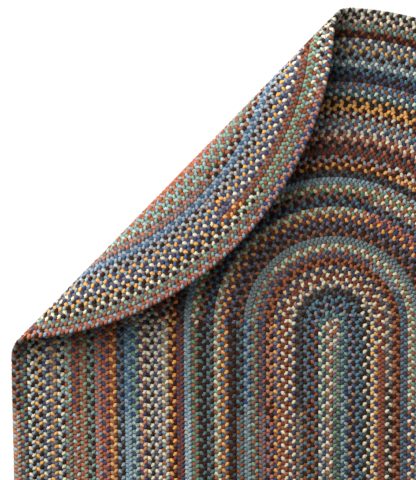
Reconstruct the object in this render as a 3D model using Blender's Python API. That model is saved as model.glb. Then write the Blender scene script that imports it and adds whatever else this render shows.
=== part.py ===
"""An oval braided rug lying on the floor, with part of its far end folded over.

One wool braid is coiled round a straight core and laced to itself, so the rug is
one piece: 43 rounds of braid, each a low ridge with a seam either side of it. A
chord across the far left of the oval is turned up and back over the rug, which
shows the braid's other face. Metres, +Z up, the rug lies on z = 0, and its
length runs along Y.

The faces that show carry the ridges: the upper one where the rug lies flat, and
the under one from the bend to the folded edge. The faces that don't are plain.
"""

import math

import bmesh
import bpy
from mathutils import Vector
from mathutils.geometry import delaunay_2d_cdt

# Driving sizes of the rug, before it is folded.
WIDTH = 1.524
LENGTH = 2.438
THICKNESS = 0.012
ROUNDS = 43

# How it lies: the round ends a touch flatter than half circles, the long sides
# a little drawn in at the middle.
END_FLATNESS = 0.986
SIDE_BOW = 0.008

# The braid as seen from a step away: a ridge, with a seam either side.
SEAM_DEPTH = 0.0034
EDGE_DROP = 0.0050
TAPER_FROM = math.radians(42)
TAPER_TO = math.radians(6)

# The fold: a bend that starts on a chord of the far end, square to its direction
# and this far away from the end's middle, and a gently curved flap beyond it.
FOLD_DIRECTION = math.radians(135.8)
FOLD_AWAY = 0.4635
BEND_RADIUS = 0.040
FLAP_RADIUS = 2.0
BEND_STEPS = 10
FLAP_STEPS = 2
FLAP_STEP = 0.070

# Distances past the start of the bend: the upper face's ridges stop at the first,
# and the under face's have risen to full height at the second.
RIDGES_STOP = -0.012
RIDGES_RISE = 0.012

# How finely the rounds are drawn: a half circle has the least steps and more
# with the root of its radius in metres, and a straight side has a few.
LEAST_STEPS = 2.0
STEPS_PER_ROOT = 25.0
SIDE_STEPS = 2

RUG_COLOUR = (0.225, 0.165, 0.135, 1.0)
RUG_ROUGHNESS = 0.95

ROW = WIDTH / 2 / ROUNDS
HALF = THICKNESS / 2
CORE = (LENGTH - END_FLATNESS * WIDTH) / 2
BEND_LENGTH = math.pi * BEND_RADIUS


def clear_scene():
    for obj in list(bpy.data.objects):
        bpy.data.objects.remove(obj, do_unlink=True)


def smooth(value):
    """0 to 1 with level ends."""
    value = min(max(value, 0.0), 1.0)
    return value * value * (3 - 2 * value)


# The rug in plan, as an even spiral: half circles round (0, CORE) at the far
# end, half circles round (ROW / 2, -CORE) at the near end, straight between.


def last_round_width(x, y):
    """Share of its full width that the last round has in this direction from the
    middle of the near end, where it tapers off towards the right."""
    turn = math.atan2(-CORE - y, x - ROW / 2)
    return smooth((turn - TAPER_TO) / (TAPER_FROM - TAPER_TO))


def arc_steps(radius):
    return max(3, round(LEAST_STEPS + STEPS_PER_ROOT * math.sqrt(radius)))


def far_end(distance):
    """Points of the half circle at the far end, right to left."""
    steps = arc_steps(distance)
    turns = [math.pi * step / steps for step in range(steps + 1)]
    return [(distance * math.cos(t), CORE + distance * math.sin(t)) for t in turns]


def near_end(distance):
    """Points of the half circle at the near end, left to right. The last round's
    thin down onto the seam inside it."""
    steps = arc_steps(distance)
    seam = (ROUNDS - 0.5) * ROW
    points = []
    for step in range(1, steps + 1):
        turn = math.pi * (1 - step / steps)
        radius = distance + ROW / 2
        x = ROW / 2 + radius * math.cos(turn)
        y = -CORE - radius * math.sin(turn)
        if radius > seam:
            thinned = (seam + (radius - seam) * last_round_width(x, y)) / radius
            x = ROW / 2 + (x - ROW / 2) * thinned
            y = -CORE + (y + CORE) * thinned
        points.append((x, y))
    return points


def side(x, start, end):
    """Points of a straight side, without its last one."""
    return [(x, start + (end - start) * i / SIDE_STEPS) for i in range(SIDE_STEPS)]


def round_line(distance):
    """One round at this distance from the core, from the near right round to it."""
    left = side(-distance, CORE, -CORE)[1:] + [(-distance, -CORE)]
    if distance == 0:
        return [(0.0, CORE)] + left + near_end(distance)
    right = side(distance, -CORE, CORE)
    return right + far_end(distance) + left + near_end(distance)


def outline():
    """The rug's edge, anticlockwise, once round."""
    return round_line(ROUNDS * ROW)[:-1]


def row_lines():
    """The seams and ridge tops inside the edge, one list of points each."""
    seams = [round_line(k * ROW) for k in range(ROUNDS)]
    tops = [round_line((k + 0.5) * ROW) for k in range(ROUNDS)]
    return [*seams[:-1], *tops[:-1], thick_part(seams[-1]), thick_part(tops[-1])]


def thick_part(line):
    """A line of the last round, as far as the braid there is a third as wide."""
    thin = [y < -CORE and last_round_width(x, y) < 1 / 3 for x, y in line]
    return line[: thin.index(True)]


def rounds_out(x, y):
    """How many rounds a point in plan is out from the core: whole on a seam."""
    if y >= CORE:
        return math.hypot(x, y - CORE) / ROW
    if y >= -CORE:
        return abs(x) / ROW
    out = math.hypot(x - ROW / 2, y + CORE) / ROW - 0.5
    if out <= ROUNDS - 1:
        return out
    return ROUNDS - 1 + (out - ROUNDS + 1) / max(last_round_width(x, y), 0.02)


def hollow(x, y):
    """How far a ridged face lies under its ridge tops at a point on the floor."""
    rounds = rounds_out(*plan_of(x, y))
    if rounds > ROUNDS - 0.5:
        return EDGE_DROP * min(2 * (rounds - ROUNDS + 0.5), 1.0)
    return SEAM_DEPTH * abs(2 * (rounds % 1.0) - 1)


# How the plan lies on the floor, and how the fold lifts it.


def laid(x, y):
    """Plan to floor: the ends a little flat and the sides a little drawn in."""
    if abs(y) > CORE:
        return x, math.copysign(CORE + (abs(y) - CORE) * END_FLATNESS, y)
    return x * (1 - SIDE_BOW / (WIDTH / 2) * bow(y)), y


def bow(y):
    return math.cos(math.pi / 2 * y / CORE) ** 2


def plan_of(x, y):
    """Floor to plan, the other way."""
    if abs(y) > CORE:
        return x, math.copysign(CORE + (abs(y) - CORE) / END_FLATNESS, y)
    return x / (1 - SIDE_BOW / (WIDTH / 2) * bow(y)), y


ACROSS = Vector((math.cos(FOLD_DIRECTION), math.sin(FOLD_DIRECTION)))
FOLD_FOOT = Vector((0, CORE)) + ACROSS * FOLD_AWAY


def past_fold(x, y):
    """Distance past the line where the bend starts; under 0 the rug lies flat."""
    return (Vector((x, y)) - FOLD_FOOT).dot(ACROSS)


def lifted(x, y, height):
    """The point of the rug that lies at (x, y) before folding, with its height
    counted from the middle of the thickness."""
    past = past_fold(x, y)
    if past <= 0:
        return Vector((x, y, HALF + height))
    if past <= BEND_LENGTH:
        turn = past / BEND_RADIUS
        reach = (BEND_RADIUS - height) * math.sin(turn)
        rise = BEND_RADIUS - (BEND_RADIUS - height) * math.cos(turn)
    else:
        turn = (past - BEND_LENGTH) / FLAP_RADIUS
        reach = -(FLAP_RADIUS - height) * math.sin(turn)
        rise = 2 * BEND_RADIUS - FLAP_RADIUS + (FLAP_RADIUS - height) * math.cos(turn)
    start = Vector((x, y)) - ACROSS * past
    place = start + ACROSS * reach
    return Vector((place.x, place.y, HALF + rise))


def upper_height(x, y):
    """The upper face is ridged up to the fold and plain past it."""
    if past_fold(x, y) > RIDGES_STOP:
        return HALF - SEAM_DEPTH / 2
    return HALF - hollow(x, y)


def under_height(x, y):
    """The under face is flat on the floor, and ridged once the bend lifts it."""
    return -HALF + hollow(x, y) * smooth(past_fold(x, y) / RIDGES_RISE)


# The two faces, each a net of triangles between its lines.


def fold_distances():
    bend = [BEND_LENGTH * step / BEND_STEPS for step in range(BEND_STEPS + 1)]
    return bend + [BEND_LENGTH + FLAP_STEP * step for step in range(1, FLAP_STEPS + 1)]


def outline_with_folds():
    """The edge on the floor with a point wherever a fold line meets it, and the
    pairs of those points that each fold line joins."""
    edge = [Vector(laid(x, y)) for x, y in outline()]
    points = []
    ends = {distance: [] for distance in fold_distances()}
    for start, end in zip(edge, edge[1:] + edge[:1]):
        points.append(start)
        one, other = past_fold(*start), past_fold(*end)
        crossed = [d for d in ends if (one - d) * (other - d) < 0]
        for distance in sorted(crossed, reverse=one > other):
            ends[distance].append(len(points))
            points.append(start.lerp(end, (distance - one) / (other - one)))
    return points, [tuple(pair) for pair in ends.values()]


def ridge_lines(keep):
    """The seams and ridge tops on the floor, in runs where keep(distance) holds."""
    for line in row_lines():
        run = []
        for x, y in line:
            point = Vector(laid(x, y))
            if keep(past_fold(*point)):
                run.append(point)
                continue
            yield run
            run = []
        yield run


def face_net(edge, folds, keep):
    """Points and triangles of a face: the edge's points come first, in order."""
    points = list(edge)
    edges = [(i, (i + 1) % len(edge)) for i in range(len(edge))] + folds
    for run in ridge_lines(keep):
        first = len(points)
        points += run
        edges += [(first + i, first + i + 1) for i in range(len(run) - 1)]
    net = delaunay_2d_cdt(points, edges, [], 1, 1e-6)
    places, triangles, origins = net[0], net[2], net[3]
    place_of = {}
    for place, sources in enumerate(origins):
        for source in sources:
            place_of[source] = place
    order = [place_of[i] for i in range(len(edge))]
    known = set(order)
    order += [place for place in range(len(places)) if place not in known]
    new_place = {place: i for i, place in enumerate(order)}
    return [places[i] for i in order], [[new_place[i] for i in t] for t in triangles]


def rug_mesh():
    """Both faces and the rim between them, as one closed mesh."""
    edge, folds = outline_with_folds()
    upper, upper_triangles = face_net(edge, folds, lambda past: past < RIDGES_STOP)
    under, under_triangles = face_net(edge, folds, lambda past: past > 0)
    shape = bmesh.new()
    top = [shape.verts.new(lifted(x, y, upper_height(x, y))) for x, y in upper]
    base = [shape.verts.new(lifted(x, y, under_height(x, y))) for x, y in under]
    for triangle in upper_triangles:
        shape.faces.new([top[i] for i in triangle])
    for triangle in under_triangles:
        shape.faces.new([base[i] for i in reversed(triangle)])
    for i in range(len(edge)):
        j = (i + 1) % len(edge)
        shape.faces.new([top[i], base[i], base[j], top[j]])
    bmesh.ops.triangulate(shape, faces=shape.faces[:])
    stand_at_origin(shape)
    mesh = bpy.data.meshes.new("rug")
    shape.to_mesh(mesh)
    shape.free()
    return mesh


def stand_at_origin(shape):
    """Moves the rug so that its box stands on the origin."""
    xs = [vert.co.x for vert in shape.verts]
    ys = [vert.co.y for vert in shape.verts]
    middle = Vector(((min(xs) + max(xs)) / 2, (min(ys) + max(ys)) / 2, 0))
    bmesh.ops.translate(shape, vec=-middle, verts=shape.verts[:])


def wool_material():
    material = bpy.data.materials.new("braided_wool")
    material.use_nodes = True
    surface = material.node_tree.nodes["Principled BSDF"]
    surface.inputs["Base Color"].default_value = RUG_COLOUR
    surface.inputs["Roughness"].default_value = RUG_ROUGHNESS
    surface.inputs["Metallic"].default_value = 0.0
    return material


def main():
    clear_scene()
    collection = bpy.data.collections.new("braided_rug")
    bpy.context.scene.collection.children.link(collection)
    rug = bpy.data.objects.new("rug", rug_mesh())
    rug.data.materials.append(wool_material())
    collection.objects.link(rug)


main()
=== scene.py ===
"""The looks of an oval braided wool rug, with part of its far end folded over.

The rug is made here as the real one is: three strands of wool are plaited into
one long braid, which winds round a straight core, 43 times. The whole is laid on
the floor and folded as the solid in the frame is. A dark inner sheet, where the
strands press together, closes the gaps between them; its dark colour is painted
shade, standing for the shade deep in those gaps. Metres, +Z up.
"""

import math

import bpy
import numpy as np
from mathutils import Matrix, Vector


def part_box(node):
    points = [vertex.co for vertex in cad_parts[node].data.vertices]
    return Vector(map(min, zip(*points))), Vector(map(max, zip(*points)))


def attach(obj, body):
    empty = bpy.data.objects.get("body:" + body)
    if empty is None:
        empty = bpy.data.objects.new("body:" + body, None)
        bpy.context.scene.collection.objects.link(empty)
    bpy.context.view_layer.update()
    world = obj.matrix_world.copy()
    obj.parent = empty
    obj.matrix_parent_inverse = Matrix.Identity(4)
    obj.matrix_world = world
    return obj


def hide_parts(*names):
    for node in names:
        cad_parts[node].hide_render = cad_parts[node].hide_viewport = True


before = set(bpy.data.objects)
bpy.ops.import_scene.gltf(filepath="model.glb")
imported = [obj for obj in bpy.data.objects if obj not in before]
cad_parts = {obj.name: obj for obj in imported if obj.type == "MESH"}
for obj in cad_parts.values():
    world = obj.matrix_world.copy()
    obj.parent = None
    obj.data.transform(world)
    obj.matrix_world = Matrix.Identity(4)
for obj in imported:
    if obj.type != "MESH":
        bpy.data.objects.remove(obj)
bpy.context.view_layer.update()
RUG_LOW, RUG_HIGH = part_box("rug")

# Driving sizes, as in the solid. The width comes from the frame.
WIDTH = RUG_HIGH[0] - RUG_LOW[0]
LENGTH = 2.438
THICKNESS = 0.012
ROUNDS = 43
# The ends are this share of a half circle deep, and the sides bow in by this much.
END_FLATNESS = 0.986
SIDE_BOW = 0.008
# Where on the near end's right the last round starts to taper off, and where it ends.
TAPER_FROM = math.radians(42)
TAPER_TO = math.radians(6)
# The fold: the direction that it lies in and its distance, from the end of the core,
# the radius of its bend, and the much larger one that the flap curves down by.
FOLD_DIRECTION = math.radians(135.8)
FOLD_AWAY = 0.4635
BEND_RADIUS = 0.040
FLAP_RADIUS = 2.0

ROW = WIDTH / 2 / ROUNDS
HALF = THICKNESS / 2
CORE = (LENGTH - END_FLATNESS * WIDTH) / 2
BEND_LENGTH = math.pi * BEND_RADIUS
NEAR_EDGE = -CORE - END_FLATNESS * (ROUNDS + 0.5) * ROW
SHIFT_Y = RUG_LOW[1] - NEAR_EDGE

# The braid: how long a turn of it is, in which a strand crosses over and comes back,
# how far the strand strays to each side and up and down, and how it goes through
# half a turn, crossing from one side to the other. The first three rings are on the
# face that shows, from the outer end of a stitch to its inner end. The fourth is
# on the other face.
STRANDS = 3
PERIOD = 0.0311
SWAY = 0.0056
LIFT = 0.0034
STITCH = (
    # degrees of turn, share of sway, share of lift, half width, height over its middle
    (66, 1.20, 0.25, 0.0044, 0.0020),
    (102, 0.92, 1.15, 0.0062, 0.0026),
    (146, 0.12, 0.90, 0.0048, 0.0024),
    (225, -0.71, -1.00, 0.0046, 0.0027),
)
STITCH_CORNERS = (
    # across its width, up, tone: painted shade at the side corners, in the crevices between
    # stitches, and painted light on the ridge
    (-1, 0, 0.78),
    (0, 1, 1.02),
    (1, 0, 0.78),
)
RIM_CORNERS = (
    # the same, for the half of a strand that faces down and shows only at the rim; the lower
    # tone of its bottom corner is painted shade under the rim
    (-1, 0, 0.78),
    (1, 0, 0.78),
    (0, -1, 0.62),
)
# How far from the middle of the thickness the rim reaches, away from the stitches.
RIM_DEPTH = 0.0056
# Shares of the bend: where the underside's stitches start, and where the rim changes
# over to the rug's other face.
UNDERSIDE_FROM = 0.1
RIM_TURNS_AT = 0.45
# The share of its lift that the braid keeps where it has tapered off, and the share
# of its width that it is cut off at.
TAPER_LIFT = 0.4
THINNEST = 0.12
# The upper face is cut along its length into this many pieces.
BRAID_PIECES = 6

# Yarns, by letter: name, colour as sRGB out of 255, and how much lighter and darker
# fibre is spun in.
YARNS = {
    "C": ("cream", (214, 206, 178), 0.0),
    "G": ("gold", (224, 164, 92), 0.1),
    "P": ("peach", (210, 178, 136), 0.2),
    "T": ("tan", (172, 134, 98), 0.2),
    "R": ("rust", (152, 92, 64), 0.1),
    "B": ("brick", (124, 66, 48), 0.2),
    "J": ("brick red", (141, 83, 64), 0.2),
    "S": ("salmon", (180, 112, 90), 0.1),
    "F": ("fox brown", (134, 78, 46), 0.2),
    "D": ("dark brown", (58, 34, 26), 0.0),
    "N": ("navy", (66, 70, 100), 0.5),
    "Q": ("deep blue", (52, 72, 116), 0.8),
    "V": ("violet grey", (112, 106, 122), 0.5),
    "U": ("denim blue", (72, 102, 134), 0.9),
    "W": ("steel blue", (90, 120, 134), 0.8),
    "K": ("sky", (134, 156, 166), 0.9),
    "A": ("pale blue grey", (160, 176, 180), 0.8),
    "E": ("teal", (86, 116, 120), 0.6),
    "O": ("slate", (116, 127, 128), 0.8),
    "M": ("mint", (130, 160, 140), 0.3),
    "I": ("pale mint", (196, 208, 196), 0.3),
    "L": ("leaf green", (104, 142, 108), 0.3),
    "H": ("charcoal", (76, 78, 80), 0.6),
    "Y": ("grey", (106, 108, 112), 0.6),
    "Z": ("mauve grey", (150, 134, 132), 0.3),
    "X": ("pale denim", (138, 152, 164), 1.0),
}

# The yarns of the three strands in each round: first those it starts with at the near
# end, and then those from each place named, in thousandths of a round from the near end
# of the right side. The far end is 250 to 500, and the left side follows it.
YARN_CHART = (
    # round, yarns
    (1, "LHY 200 LZY 238 CRY 385 RCY"),
    (2, "KMN 210 ENM 497 CNL 555 CNO"),
    (3, "DTN 210 DZU 497 UDR 555 EDR"),
    (4, "DWW 440 WDW 497 WDY 555 FDW"),
    (5, "CHD 310 HHD 497 DHH 555 THY"),
    (6, "GNC 250 TNC 497 CFN"),
    (7, "JJJ 235 BCB 440 BBC 555 RBC"),
    (8, "HCD 210 HPV 300 HPN 497 NVG 555 NRG"),
    (9, "RDR 497 STD 555 SDV"),
    (10, "VWH 290 ZKY 330 NRY 497 RNH 555 RVY"),
    (11, "RQC 194 RMC 440 RMY 497 RMH"),
    (12, "OOO 497 OKQ 555 OKO"),
    (13, "DRH 497 HDE 555 YFE"),
    (14, "DHV 497 HDD"),
    (15, "BGN 497 FUG"),
    (16, "SSN 353 MRC"),
    (17, "VED 350 NED 497 EDY"),
    (18, "RCV 349 DRE 497 EDD"),
    (19, "CRL 497 LHR 555 LYR"),
    (20, "AKF 350 KKO 555 AAK"),
    (21, "HDH 497 BNB"),
    (22, "BPG 342 BDG 497 GDB"),
    (23, "SDI 350 SDK 497 TOC 555 RKC"),
    (24, "BBH 497 CNZ"),
    (25, "DHS 497 CDO"),
    (26, "BSC 497 CNR 555 PNS"),
    (27, "CNZ 497 KLN 555 AMN"),
    (28, "AWR 497 KUW 555 KKK"),
    (29, "DJI 497 YUD 555 HKD"),
    (30, "DGG 385 RRR 497 GRB 555 GTB"),
    (31, "DHG 385 SSR 497 SRN"),
    (32, "HEI 385 SKR 497 SWS 555 SKS"),
    (33, "KRU 385 RMK 497 DMY"),
    (34, "DHN 385 YMR 430 AMR 497 RMR 555 RMS"),
    (35, "DUE 385 RAD 435 SZY 497 RRN 555 RRA"),
    (36, "KIY 385 XUX 497 AMR 555 YMR"),
    (37, "YDK 385 DAZ 435 ZAD 497 CDK"),
    (38, "GHK 385 NKG 435 KGN 497 GVY"),
    (39, "CNY 385 CNV 435 NVC 497 YCN"),
    (40, "DDB 385 YRB 435 GUD 465 GKD"),
    (41, "EMR 385 MMR 430 DYC 497 KCD"),
    (42, "DCZ 385 FCK 405 MRY 435 YRM 497 BLN 555 RMN"),
    (43, "OCD 385 UCJ 400 SZQ 435 SKJ 497 ORD 555 AST"),
)
# How far the splices stray from those places, and from the start of the round, in
# rounds.
SPLICE_SPREAD = (-0.005, 0.005)
START_SPREAD = (-0.30, 0.10)
SPLICE_SEED = 7
# How much the stitches of one yarn differ in tone, how many tones are drawn past the
# braid's end, and how much lighter the stitches are on the underside.
TONE_SPREAD = 0.07
TONE_SEED = 100
SPARE_STITCHES = 20
UNDERSIDE_TONE = 1.18

# The photograph's view: its pixels, the metres of rug under each, the pixel that
# shows the core's far end, the camera's height over the rug and its film's width in
# millimetres.
IMAGE_SIZE = (416, 480)
PIXEL = 0.002369
END_PIXEL = (333.2, 324.6)
CAMERA_HEIGHT = 3.5
FILM_WIDTH = 36


def linear(srgb):
    """Linear colour of an sRGB one out of 255."""
    value = np.asarray(srgb, float) / 255
    return np.where(value > 0.04045, ((value + 0.055) / 1.055) ** 2.4, value / 12.92)


# The braid's way in plan: each round has four stretches, up the right side, round
# the far end, down the left side and round the near end, and is one row further out.

STRETCHES = 4
RIGHT, FAR, LEFT, NEAR = range(STRETCHES)


def last_round_width(x, y):
    """Share of its width that the last round keeps as it tapers off."""
    turn = np.arctan2(-CORE - y, x - ROW / 2)
    value = np.clip((turn - TAPER_TO) / (TAPER_FROM - TAPER_TO), 0, 1)
    return value * value * (3 - 2 * value)


def stretch_lengths():
    """Lengths of the four stretches of each round, in order."""
    lengths = []
    for number in range(ROUNDS):
        out = (number + 0.5) * ROW
        lengths += [2 * CORE, math.pi * out, 2 * CORE, math.pi * (out + ROW / 2)]
    return np.array(lengths)


LENGTHS = stretch_lengths()
STARTS = np.concatenate([[0.0], np.cumsum(LENGTHS)[:-1]])
BRAID_LENGTH = LENGTHS.sum()
BRAID_TURNS = int(BRAID_LENGTH / PERIOD)


def braid_way(travel):
    """Plan x and y, outward x and y, width share, and rounds, at each travel."""
    stretch = np.clip(np.searchsorted(STARTS, travel, "right") - 1, 0, len(STARTS) - 1)
    part = (travel - STARTS[stretch]) / LENGTHS[stretch]
    kind = stretch % STRETCHES
    out = (stretch // STRETCHES + 0.5) * ROW
    turn = np.select(
        [kind == RIGHT, kind == FAR, kind == LEFT],
        [0 * part, math.pi * part, math.pi + 0 * part],
        math.pi * (1 + part),
    )
    out_x, out_y = np.cos(turn), np.sin(turn)
    near = kind == NEAR
    radius = np.where(near, out + ROW / 2, out)
    straight = np.select([kind == RIGHT, kind == LEFT], [2 * part - 1, 1 - 2 * part], 1.0)
    x = radius * out_x + np.where(near, ROW / 2, 0)
    y = radius * out_y + CORE * np.where(near, -1, straight)
    seam = (ROUNDS - 0.5) * ROW
    last = near & (stretch // STRETCHES == ROUNDS - 1)
    share = np.where(last, last_round_width(x, y), 1.0)
    pulled = np.where(last, (seam + ROW / 2 * share) / radius, 1.0)
    x = np.where(last, ROW / 2 + (x - ROW / 2) * pulled, x)
    y = np.where(last, -CORE + (y + CORE) * pulled, y)
    rounds = stretch // STRETCHES + (kind + part) / STRETCHES
    return x, y, out_x, out_y, share, rounds


# How the plan lies on the floor, and how the fold lifts it, as in the solid.


def laid(x, y):
    """Plan places on the floor, with the sides bowed in and the ends flattened."""
    bow = np.cos(math.pi / 2 * np.clip(y / CORE, -1, 1)) ** 2
    past_core = np.abs(y) - CORE
    flat = np.copysign(CORE + past_core * END_FLATNESS, y)
    return x * (1 - SIDE_BOW / (WIDTH / 2) * bow), np.where(past_core > 0, flat, y)


ACROSS = (math.cos(FOLD_DIRECTION), math.sin(FOLD_DIRECTION))


def past_fold(x, y):
    """Distance past the line where the bend starts; under 0 the rug lies flat."""
    return x * ACROSS[0] + (y - CORE) * ACROSS[1] - FOLD_AWAY


def lifted(x, y, height):
    """Points of the rug that lie at (x, y) on the floor before folding, with
    their height counted from the middle of the thickness."""
    past = past_fold(x, y)
    turn = np.clip(past, 0, BEND_LENGTH) / BEND_RADIUS
    over = np.clip(past - BEND_LENGTH, 0, None) / FLAP_RADIUS
    reach = np.minimum(past, 0) + (BEND_RADIUS - height) * np.sin(turn)
    rise = BEND_RADIUS - (BEND_RADIUS - height) * np.cos(turn)
    on_flap = past > BEND_LENGTH
    reach = np.where(on_flap, -(FLAP_RADIUS - height) * np.sin(over), reach)
    fall = FLAP_RADIUS - (FLAP_RADIUS - height) * np.cos(over)
    rise = np.where(on_flap, 2 * BEND_RADIUS - fall, rise)
    shift = reach - past
    place = [x + ACROSS[0] * shift, y + ACROSS[1] * shift + SHIFT_Y, HALF + rise]
    return np.stack(place, axis=-1)


# The strands.


def splices():
    """For each strand, the rounds at which its yarn changes and the new yarns."""
    chance = np.random.default_rng(SPLICE_SEED)
    runs = [[] for _ in range(STRANDS)]
    now = [""] * STRANDS
    for number, yarns in YARN_CHART:
        words = ["0", *yarns.split()]
        for thousandths, triple in zip(words[::2], words[1::2]):
            spread = START_SPREAD if thousandths == "0" else SPLICE_SPREAD
            for strand, letter in enumerate(triple):
                if now[strand] != letter:
                    now[strand] = letter
                    place = number - 1 + int(thousandths) / 1000
                    place += chance.uniform(*spread)
                    runs[strand].append((place, letter))
    return runs


# What moves a row of STITCH half a turn on, to the braid's other side, and to the
# rug's other face, where it runs backwards.
HALF_TURN = (180, 0, 0, 0, 0)
OTHER_SIDE = (1, -1, 1, 1, 1)
OTHER_FACE = (-1, 1, -1, 1, 1)


def strand_rings(first, last, under):
    """The rings of points of a strand on one face of the rug, from one turn of the
    braid to another, in the columns of STITCH but with whole turns."""
    stitch = np.array(STITCH)
    if under:
        stitch = stitch[::-1] * OTHER_FACE + HALF_TURN
        stitch[0] = stitch[0] * OTHER_SIDE + HALF_TURN
        stitch = np.roll(stitch, -1, axis=0)
    back = stitch * OTHER_SIDE + HALF_TURN
    both = np.concatenate([stitch, back])
    turns = np.arange(first, last)
    rings = np.broadcast_to(both, (len(turns), *both.shape)).copy()
    rings[:, :, 0] = rings[:, :, 0] / 360 + turns[:, None]
    return rings.reshape(-1, len(STITCH[0]))


def strand_travel(strand, turns):
    """Metres along the braid at these turns of a strand: a third of a turn less for
    each strand."""
    return (turns - strand / STRANDS) * PERIOD


def strand_points(strand, under, rings, corners):
    """Points of the strand's rings, one for each corner, folded as the rug is, and
    the rounds that each ring is at."""
    turns, sway, lift, wide, high = rings.T
    travel = strand_travel(strand, turns)
    x, y, out_x, out_y, share, rounds = braid_way(travel)
    flatter = TAPER_LIFT + (1 - TAPER_LIFT) * share
    centre = np.stack([sway * SWAY * share, travel, lift * LIFT * flatter], axis=-1)
    along = np.gradient(centre, axis=0)
    along /= np.linalg.norm(along, axis=-1, keepdims=True)
    side = np.stack([along[:, 1], -along[:, 0], 0 * travel], axis=-1)
    side /= np.linalg.norm(side, axis=-1, keepdims=True)
    side = -side if under else side
    top = np.cross(side, along)
    centre[:, 1] = 0
    points = []
    for over, up, _ in corners:
        local = centre + side * (over * wide * share)[:, None]
        local = local + top * (up * high * share)[:, None]
        if up < 0:
            local[:, 2] = RIM_DEPTH if under else -RIM_DEPTH
        plan_x = x + local[:, 0] * out_x - local[:, 1] * out_y
        plan_y = y + local[:, 0] * out_y + local[:, 1] * out_x
        floor_x, floor_y = laid(plan_x, plan_y)
        points.append(lifted(floor_x, floor_y, local[:, 2]))
    return np.stack(points, axis=1), rounds


def strand_colours(strand, turns, rounds, runs):
    """Linear colour of each ring: its yarn's, a little lighter or darker from one
    stitch to the next, with the share of other fibre as its alpha."""
    places = np.array([place for place, _ in runs[strand]])
    palette = np.array([linear(YARNS[letter][1]) for _, letter in runs[strand]])
    yarn = np.clip(np.searchsorted(places, rounds, "right") - 1, 0, None)
    stitch = np.floor(turns * 2).astype(int)
    chance = np.random.default_rng(TONE_SEED + strand)
    tone = chance.normal(1.0, TONE_SPREAD, 2 * BRAID_TURNS + SPARE_STITCHES)
    heather = np.array([YARNS[letter][2] for _, letter in runs[strand]])
    return np.hstack([palette[yarn] * tone[stitch][:, None], heather[yarn][:, None]])


def tube_faces(rings, sides, first):
    """Quads round a tube of rings, from a first point."""
    ring = np.arange(rings - 1)[:, None] * sides
    corner = np.arange(sides)
    follow = (corner + 1) % sides
    quads = np.stack(
        [ring + corner, ring + follow, ring + sides + follow, ring + sides + corner],
        axis=-1,
    )
    return quads.reshape(-1, 4) + first


def new_mesh(name, points, quads):
    """A mesh of quads, shaded smooth."""
    mesh = bpy.data.meshes.new(name)
    mesh.vertices.add(len(points))
    mesh.vertices.foreach_set("co", points.astype(np.float32).ravel())
    mesh.loops.add(quads.size)
    mesh.loops.foreach_set("vertex_index", quads.astype(np.int32).ravel())
    mesh.polygons.add(len(quads))
    mesh.polygons.foreach_set("loop_start", np.arange(0, quads.size, 4, dtype=np.int32))
    mesh.update(calc_edges=True)
    mesh.validate()
    mesh.shade_smooth()
    return mesh


def show(name, mesh, material):
    """Puts the mesh in the scene, standing for the rug's solid."""
    piece = bpy.data.objects.new(name, mesh)
    bpy.context.scene.collection.objects.link(piece)
    mesh.materials.append(material)
    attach(piece, "root")
    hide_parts("rug")
    return piece


def mirrored(quads, sides, rings):
    """The quads with their first corners chosen so that stitches to the left and to
    the right are split into triangles as mirror images."""
    turned = np.floor(rings[:-1, 0] * 2) % 2 == 0
    turned = np.repeat(turned, sides)[:, None]
    return np.where(turned, np.roll(quads, -1, axis=1), quads)


def ply_places(rings, corners):
    """Metres along the strand and across it, of each point, for the yarn's plies."""
    across = np.array([over for over, _, _ in corners])
    places = np.zeros((len(rings), len(across), 3))
    places[:, :, 0] = rings[:, :1] * PERIOD
    places[:, :, 1] = across * rings[:, 3:4]
    return places.reshape(-1, 3)


def bake_layout(mesh, sides):
    """Texture places: one cell of a grid for each quad, with those
    that follow each other along a strand side by side."""
    margin = 0.08
    number = np.arange(len(mesh.polygons))
    columns = math.ceil(math.sqrt(len(number)))
    rows = sides * math.ceil(len(number) / sides / columns)
    column = (number // sides) % columns
    row = number // sides // columns * sides + number % sides
    corners = np.array([(0, 0), (0, 1), (1, 1), (1, 0)]) * (1 - 2 * margin) + margin
    cell = np.stack([column, row], axis=-1)[:, None, :] + corners
    layer = mesh.uv_layers.new(name="OFBake")
    layer.data.foreach_set("uv", (cell / (columns, rows)).ravel())


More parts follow.
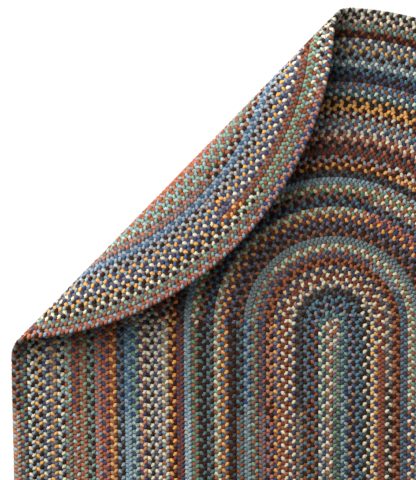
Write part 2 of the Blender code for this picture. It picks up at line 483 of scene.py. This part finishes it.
def braid_piece(name, first, last, under, corners, reach, runs, material):
    """A length of the braid's three strands, from one turn to another, on one face
    of the rug. Reach is the part of it that is kept, in bends past the fold's line."""
    points, quads, colours, plies = [], [], [], []
    sides = len(corners)
    # The corners' tones are painted shade in the crevices between stitches and painted light
    # on the ridges.
    painted_shades = np.array([(tone, tone, tone, 1) for _, _, tone in corners])
    count = 0
    for strand in range(STRANDS):
        rings = strand_rings(first, last, under)
        travel = strand_travel(strand, rings[:, 0])
        x, y, _, _, share, _ = braid_way(np.clip(travel, 0, BRAID_LENGTH))
        past = past_fold(*laid(x, y)) / BEND_LENGTH
        kept = (travel >= 0) & (travel <= BRAID_LENGTH) & (share > THINNEST)
        rings = rings[kept & (past > reach[0]) & (past <= reach[1])]
        places, rounds = strand_points(strand, under, rings, corners)
        tint = strand_colours(strand, rings[:, 0], rounds, runs)
        tint[:, :3] *= UNDERSIDE_TONE if under else 1
        points.append(places.reshape(-1, 3))
        colours.append((tint[:, None, :] * painted_shades).reshape(-1, 4))
        plies.append(ply_places(rings, corners))
        faces = mirrored(tube_faces(len(rings), sides, count), sides, rings)
        joined = np.diff(rings[:, 0]) < 1
        quads.append(faces[np.repeat(joined, sides)])
        count += len(rings) * sides
    mesh = new_mesh(name, np.concatenate(points), np.concatenate(quads))
    # The yarn colours carry the corners' painted shade and light, as well as each yarn's own
    # colour.
    layer = mesh.color_attributes.new("yarn", "FLOAT_COLOR", "POINT")
    layer.data.foreach_set("color", np.concatenate(colours).ravel())
    layer = mesh.attributes.new("ply", "FLOAT_VECTOR", "POINT")
    layer.data.foreach_set("vector", np.concatenate(plies).ravel())
    bake_layout(mesh, sides)
    return show(name, mesh, material)


def braid(material):
    """The pieces of the braid: its upper face in lengths, its other face where the
    fold shows it, and the rim. The rim starts at the near end of the last round but
    one, which is bare where the last round has tapered off. The strands start apart,
    so the lengths go on for a turn or two past both ends."""
    runs = splices()
    turns = BRAID_TURNS + 2
    cuts = np.linspace(-1, turns, BRAID_PIECES + 1).astype(int)
    rim_from = int(STARTS[-STRETCHES - 1] / PERIOD)
    everywhere = (-math.inf, math.inf)
    parts = [
        (f"braid_{i + 1}", cuts[i], cuts[i + 1], False, STITCH_CORNERS, everywhere)
        for i in range(BRAID_PIECES)
    ]
    parts += [
        ("underside", 0, turns, True, STITCH_CORNERS, (UNDERSIDE_FROM, math.inf)),
        ("rim", rim_from, turns, False, RIM_CORNERS, (-math.inf, RIM_TURNS_AT)),
        ("folded_rim", rim_from, turns, True, RIM_CORNERS, (RIM_TURNS_AT, math.inf)),
    ]
    return [braid_piece(*part, runs, material) for part in parts]


# The inner sheet, where the strands press together. It is a net of chords of the
# oval, each at one distance from the fold, so that it bends where the rug does.

SHEET_THICKNESS = 0.0044
# How far inside the rug's edge the sheet ends, and how far inside the oval's two
# ends across the fold the first and last chords lie.
SHEET_EDGE = 0.0045
CHORD_INSET = 0.001
# Points of each chord, of the two ends' outline together, and of each side's.
CHORD_POINTS = 9
END_POINTS = 1440
SIDE_POINTS = 60
# Distances between chords where the sheet is flat and where it bends.
FLAT_STEP = 0.020
BEND_STEP = 0.006


def sheet_outline():
    """Points of the sheet's edge in plan, anticlockwise."""
    turn = np.linspace(0, 2 * math.pi, END_POINTS, endpoint=False)
    out = WIDTH / 2 - SHEET_EDGE
    straight = np.where(np.sin(turn) >= 0, CORE, -CORE)
    edge = laid(out * np.cos(turn), straight + out * np.sin(turn))
    sides = np.linspace(CORE, -CORE, SIDE_POINTS)
    left = laid(0 * sides - out, sides)
    right = laid(0 * sides + out, -sides)
    half = len(turn) // 2
    x = np.concatenate([edge[0][:half], left[0], edge[0][half:], right[0]])
    y = np.concatenate([edge[1][:half], left[1], edge[1][half:], right[1]])
    return x, y


def chords():
    """Plan x and y of the points of the chords, one row for each chord."""
    x, y = sheet_outline()
    past = past_fold(x, y)
    start = int(np.argmin(past))
    x, y, past = np.roll(x, -start), np.roll(y, -start), np.roll(past, -start)
    middle = int(np.argmax(past))
    low, high = past[0] + CHORD_INSET, past[middle] - CHORD_INSET
    stops = [low, -BEND_STEP, BEND_LENGTH + BEND_STEP, high]
    steps = [FLAT_STEP, BEND_STEP, FLAT_STEP]
    runs = [
        np.linspace(a, b, math.ceil((b - a) / step), endpoint=False)
        for a, b, step in zip(stops, stops[1:], steps)
    ]
    level = np.concatenate([*runs, [high]])
    one_side = slice(0, middle + 1)
    other_side = slice(len(past) - 1, middle - 1, -1)
    part = np.linspace(0, 1, CHORD_POINTS)
    found = []
    for value in (x, y):
        first = np.interp(level, past[one_side], value[one_side])
        second = np.interp(level, past[other_side], value[other_side])
        found.append(first[:, None] * (1 - part) + second[:, None] * part)
    return found


def inner_sheet(material):
    """The sheet: a loop of points round each chord, joined, with both ends closed."""
    x, y = chords()
    upper = lifted(x, y, SHEET_THICKNESS / 2)
    under = lifted(x, y, -SHEET_THICKNESS / 2)
    loop = np.concatenate([upper, under[:, ::-1]], axis=1)
    around = loop.shape[1]
    rows = len(loop)
    quads = tube_faces(rows, around, 0)
    half = np.arange(CHORD_POINTS - 1)
    start = np.stack([half, half + 1, around - 2 - half, around - 1 - half], axis=-1)
    end = start[:, ::-1] + (rows - 1) * around
    quads = np.concatenate([quads, start[:, ::-1], end[:, ::-1]])
    mesh = new_mesh("inner_sheet", loop.reshape(-1, 3), quads)
    return show("inner_sheet", mesh, material)


# Materials.

WOOL = {
    "Roughness": 0.9,
    "Specular IOR Level": 0.1,
    "Sheen Weight": 0.05,
    "Sheen Roughness": 0.5,
}
# The plies' width, and how far across the strand they wind for each metre along it.
PLY_WIDTH = 0.0026
PLY_TWIST = 0.35
# The plies' share of the relief, which the fibres add to, and the relief's middle.
PLY_SHARE = 0.5
RELIEF_MIDDLE = 0.5
RELIEF_STRENGTH = 0.4
RELIEF_HEIGHT = 0.0006
# The fibres' size; the tones from low to high in the relief, which paint shade into the
# grooves between plies and give the fibres lighter and darker flecks; and how much more the
# fibres differ in a yarn that other fibre is spun in.
FLECK_LENGTH = 0.0011
FLECK_DETAIL = 2
GROOVE_SHADE_AND_FLECK_TONES = (0.72, 1.24)
HEATHER = 0.7
# The inner sheet's dark colour is painted shade in the gaps between the strands.
GAP_SHADE_COLOUR = (40, 28, 22)
INNER_ROUGHNESS = 1.0
FLOOR_COLOUR = (250, 250, 250)
FLOOR_ROUGHNESS = 0.9


def add_math(nodes, links, operation, one, other):
    """The output of a Math node; a number or a socket goes into each input."""
    node = nodes.new("ShaderNodeMath")
    node.operation = operation
    for socket, value in zip(node.inputs, (one, other)):
        if isinstance(value, (int, float)):
            socket.default_value = value
        else:
            links.new(value, socket)
    return node.outputs["Value"]


def wool_relief(nodes, links):
    """Height of the yarn's surface: plies wound side by side, and fibres in them."""
    ply = nodes.new("ShaderNodeAttribute")
    ply.attribute_name = "ply"
    fibre = nodes.new("ShaderNodeTexNoise")
    fibre.inputs["Scale"].default_value = 1 / FLECK_LENGTH
    fibre.inputs["Detail"].default_value = FLECK_DETAIL
    place = nodes.new("ShaderNodeTexCoord")
    links.new(place.outputs["Object"], fibre.inputs["Vector"])
    split = nodes.new("ShaderNodeSeparateXYZ")
    links.new(ply.outputs["Vector"], split.inputs[0])
    slant = add_math(nodes, links, "MULTIPLY", split.outputs["X"], PLY_TWIST)
    wound = add_math(nodes, links, "ADD", split.outputs["Y"], slant)
    wander = add_math(nodes, links, "MULTIPLY", fibre.outputs["Fac"], PLY_WIDTH / 2)
    wound = add_math(nodes, links, "ADD", wound, wander)
    turn = add_math(nodes, links, "MULTIPLY", wound, 2 * math.pi / PLY_WIDTH)
    wave = add_math(nodes, links, "SINE", turn, 0)
    relief = add_math(nodes, links, "MULTIPLY", wave, PLY_SHARE)
    return add_math(nodes, links, "ADD", relief, fibre.outputs["Fac"])


def wool_tint(nodes, links, relief):
    """The strand's colour, with the corners' painted shade and light in it, darker where the
    relief is low and lighter where it is high: painted shade in the grooves between plies,
    and flecks of lighter and darker fibre.
    """
    yarn = nodes.new("ShaderNodeAttribute")
    yarn.attribute_name = "yarn"
    span = nodes.new("ShaderNodeMapRange")
    span.inputs["To Min"].default_value = GROOVE_SHADE_AND_FLECK_TONES[0]
    span.inputs["To Max"].default_value = GROOVE_SHADE_AND_FLECK_TONES[1]
    links.new(relief, span.inputs["Value"])
    swing = add_math(nodes, links, "SUBTRACT", relief, RELIEF_MIDDLE)
    swing = add_math(nodes, links, "MULTIPLY", swing, yarn.outputs["Alpha"])
    swing = add_math(nodes, links, "MULTIPLY", swing, HEATHER)
    tone = add_math(nodes, links, "ADD", span.outputs["Result"], swing)
    tint = nodes.new("ShaderNodeVectorMath")
    tint.operation = "SCALE"
    links.new(yarn.outputs["Color"], tint.inputs[0])
    links.new(tone, tint.inputs["Scale"])
    return tint.outputs["Vector"]


def wool_material():
    """Wool yarn: thin plies with lighter and darker fibres in them, and shade painted into
    the grooves between the plies.
    """
    material = bpy.data.materials.new("braided_wool")
    material.use_nodes = True
    nodes, links = material.node_tree.nodes, material.node_tree.links
    surface = nodes["Principled BSDF"]
    for name, value in WOOL.items():
        surface.inputs[name].default_value = value
    relief = wool_relief(nodes, links)
    links.new(wool_tint(nodes, links, relief), surface.inputs["Base Color"])
    bump = nodes.new("ShaderNodeBump")
    bump.inputs["Strength"].default_value = RELIEF_STRENGTH
    bump.inputs["Distance"].default_value = RELIEF_HEIGHT
    links.new(relief, bump.inputs["Height"])
    links.new(bump.outputs["Normal"], surface.inputs["Normal"])
    return material


def plain_material(name, colour, roughness):
    """One colour, as sRGB out of 255, all over."""
    material = bpy.data.materials.new(name)
    material.use_nodes = True
    surface = material.node_tree.nodes["Principled BSDF"]
    surface.inputs["Base Color"].default_value = (*linear(colour), 1)
    surface.inputs["Roughness"].default_value = roughness
    return material


# The studio.

LIGHTS = (
    # name, place from the middle of the picture, width, watts
    ("key", (-2.5, 2.4, 2.6), 5.8, 402),
    ("fill", (2.5, -2.5, 4.0), 3.0, 14),
)
LIGHT_COLOUR = (1, 0.985, 0.955)
SKY_STRENGTH = 0.20
FLOOR_REACH = 6.0


def point_at(obj, place, target):
    """Puts the object at a place and turns it to face the target."""
    obj.location = place
    obj.rotation_euler = (Vector(target) - Vector(place)).to_track_quat("-Z", "Y").to_euler()


def camera():
    """Straight above the part of the rug that the photograph shows."""
    view = bpy.data.cameras.new("camera")
    holder = bpy.data.objects.new("camera", view)
    bpy.context.scene.collection.objects.link(holder)
    x = (IMAGE_SIZE[0] / 2 - END_PIXEL[0]) * PIXEL
    y = CORE + SHIFT_Y + (END_PIXEL[1] - IMAGE_SIZE[1] / 2) * PIXEL
    holder.location = (x, y, CAMERA_HEIGHT + THICKNESS)
    view.sensor_width = FILM_WIDTH
    view.lens = view.sensor_width * CAMERA_HEIGHT / (IMAGE_SIZE[1] * PIXEL)
    bpy.context.scene.camera = holder
    return x, y


def area_light(name, place, target, size, power):
    """A round, soft light that faces the target."""
    light = bpy.data.lights.new(name, "AREA")
    light.shape = "DISK"
    light.size = size
    light.energy = power
    light.color = LIGHT_COLOUR
    holder = bpy.data.objects.new(name, light)
    bpy.context.scene.collection.objects.link(holder)
    point_at(holder, place, target)


def studio():
    """The camera, the two lights and a white sky."""
    x, y = camera()
    for name, (right, away, up), size, power in LIGHTS:
        area_light(name, (x + right, y + away, up), (x, y, 0), size, power)
    world = bpy.data.worlds.new("studio")
    world.use_nodes = True
    sky = world.node_tree.nodes["Background"]
    sky.inputs["Color"].default_value = (1, 1, 1, 1)
    sky.inputs["Strength"].default_value = SKY_STRENGTH
    bpy.context.scene.world = world
    bpy.context.scene.view_settings.view_transform = "Standard"


def floor():
    """The pale floor, one square."""
    signs = [(-1, -1), (1, -1), (1, 1), (-1, 1)]
    corners = [(x * FLOOR_REACH, y * FLOOR_REACH, 0) for x, y in signs]
    mesh = bpy.data.meshes.new("floor")
    mesh.from_pydata(corners, [], [(0, 1, 2, 3)])
    mesh.materials.append(plain_material("floor", FLOOR_COLOUR, FLOOR_ROUGHNESS))
    piece = bpy.data.objects.new("floor", mesh)
    bpy.context.scene.collection.objects.link(piece)


studio()
floor()
strands = braid(wool_material())
sheet = inner_sheet(plain_material("painted_gap_shade", GAP_SHADE_COLOUR, INNER_ROUGHNESS))
